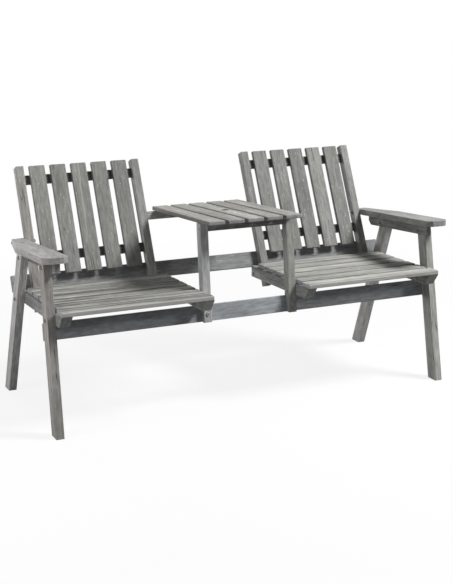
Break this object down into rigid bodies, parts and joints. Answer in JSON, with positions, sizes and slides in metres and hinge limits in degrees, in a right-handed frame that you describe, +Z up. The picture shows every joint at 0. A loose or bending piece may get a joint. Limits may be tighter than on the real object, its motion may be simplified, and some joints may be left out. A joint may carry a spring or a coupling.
{
  "type": "garden bench",
  "caption": "Wooden companion garden bench: slatted seats with reclined slatted backs in one frame, joined by a slatted table with a parasol hole; armrests at both ends.",
  "frame": {"origin": "on the floor, under the middle of the bench's box", "axes": "+X along the bench to the sitter's left, which is right as seen from the front; +Y to the back; +Z up"},
  "size_m": [1.647, 0.6923, 0.8662],
  "materials": {
    "grey_wood": "matt, weathered grey stain",
    "yellow_zinc": "yellow passivated zinc plating",
    "screw_steel": "dull zinc plating"
  },
  "bodies": {
    "root": {"arm_rail_left": "grey_wood", "arm_rail_right": "grey_wood", "armrest_left": "grey_wood", "armrest_right": "grey_wood", "back_slat_left_1": "grey_wood", "back_slat_left_2": "grey_wood", "back_slat_left_3": "grey_wood", "back_slat_left_4": "grey_wood", "back_slat_left_5": "grey_wood", "back_slat_right_1": "grey_wood", "back_slat_right_2": "grey_wood", "back_slat_right_3": "grey_wood", "back_slat_right_4": "grey_wood", "back_slat_right_5": "grey_wood", "back_slat_screws": "screw_steel", "bottom_back_rail_left": "grey_wood", "bottom_back_rail_right": "grey_wood", "frame_bolts": "yellow_zinc", "frame_nuts": "yellow_zinc", "front_leg_left": "grey_wood", "front_leg_right": "grey_wood", "front_stretcher": "grey_wood", "front_table_batten": "grey_wood", "inner_seat_rail_left": "grey_wood", "inner_seat_rail_right": "grey_wood", "inner_stile_left": "grey_wood", "inner_stile_right": "grey_wood", "joint_screws": "screw_steel", "outer_seat_rail_left": "grey_wood", "outer_seat_rail_right": "grey_wood", "outer_stile_left": "grey_wood", "outer_stile_right": "grey_wood", "rear_beam": "grey_wood", "rear_leg_left": "grey_wood", "rear_leg_right": "grey_wood", "rear_table_rail": "grey_wood", "seat_slat_left_1": "grey_wood", "seat_slat_left_2": "grey_wood", "seat_slat_left_3": "grey_wood", "seat_slat_left_4": "grey_wood", "seat_slat_left_5": "grey_wood", "seat_slat_left_6": "grey_wood", "seat_slat_right_1": "grey_wood", "seat_slat_right_2": "grey_wood", "seat_slat_right_3": "grey_wood", "seat_slat_right_4": "grey_wood", "seat_slat_right_5": "grey_wood", "seat_slat_right_6": "grey_wood", "seat_slat_screws": "screw_steel", "table_post_left": "grey_wood", "table_post_right": "grey_wood", "table_slat_1": "grey_wood", "table_slat_2": "grey_wood", "table_slat_3": "grey_wood", "table_slat_4": "grey_wood", "table_slat_5": "grey_wood", "table_slat_screws": "screw_steel", "top_back_rail_left": "grey_wood", "top_back_rail_right": "grey_wood"}
  },
  "joints": []
}
